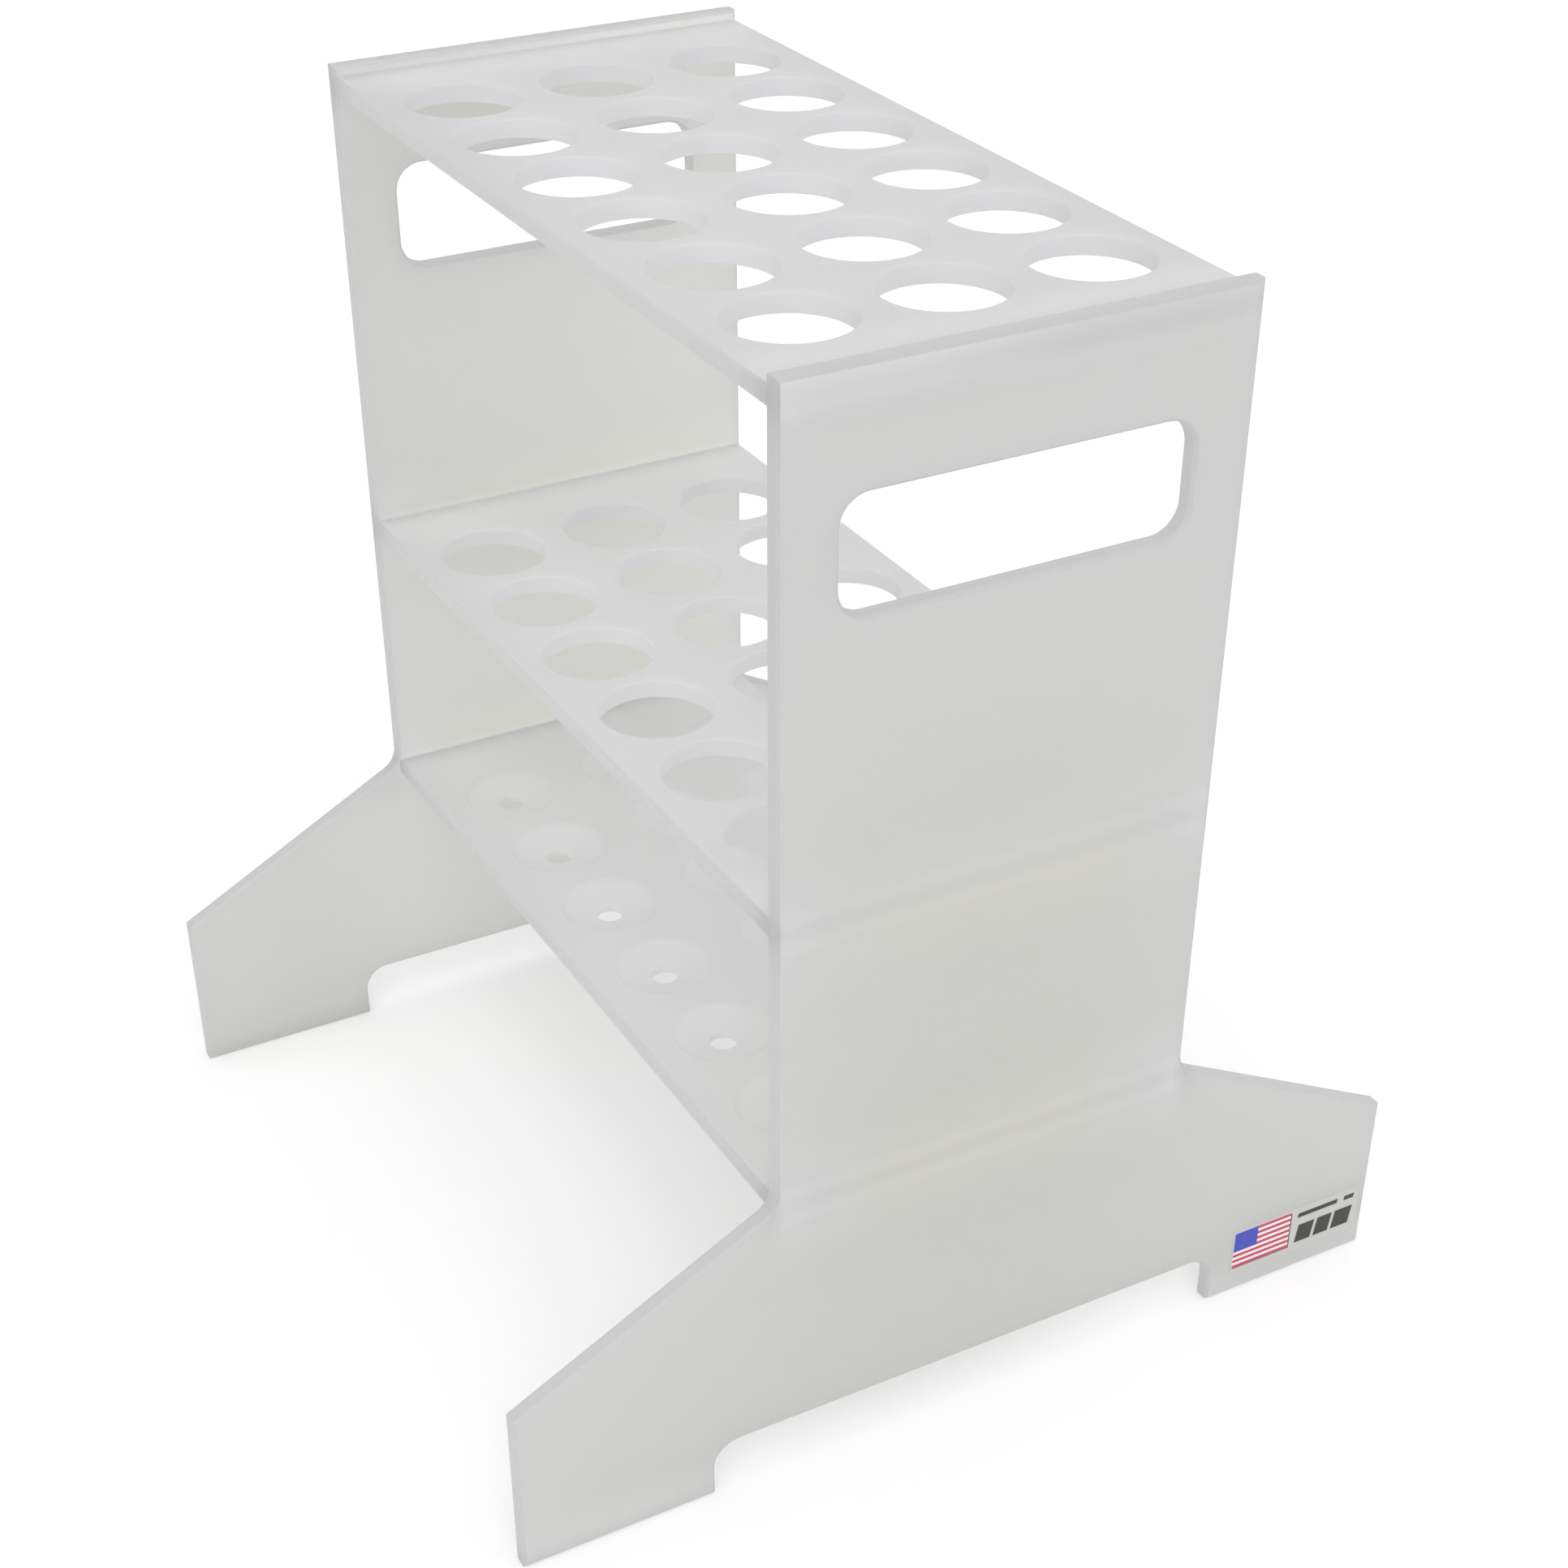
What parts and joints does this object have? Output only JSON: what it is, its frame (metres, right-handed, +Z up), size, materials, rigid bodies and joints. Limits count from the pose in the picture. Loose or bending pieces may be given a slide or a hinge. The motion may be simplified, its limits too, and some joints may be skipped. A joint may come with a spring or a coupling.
{
  "type": "hydrometer rack",
  "caption": "Free-standing white plastic bench rack that holds hydrometers upright in a grid of holes above dished seats, with a hand slot in each end plate.",
  "frame": {"origin": "on the floor, under the middle of the rack", "axes": "+X along the shelves towards the end plate with the label, +Y across the shelves, +Z up"},
  "size_m": [0.3177, 0.3364, 0.381],
  "materials": {
    "sheet": "natural translucent white polypropylene sheet, satin, with scraped edges",
    "label_film": "thin printed film with plain coloured bars"
  },
  "bodies": {
    "root": {"end_plate_left": "sheet", "end_plate_right": "sheet", "top_shelf": "sheet", "middle_shelf": "sheet", "bottom_shelf": "sheet", "label": "label_film"}
  },
  "joints": []
}
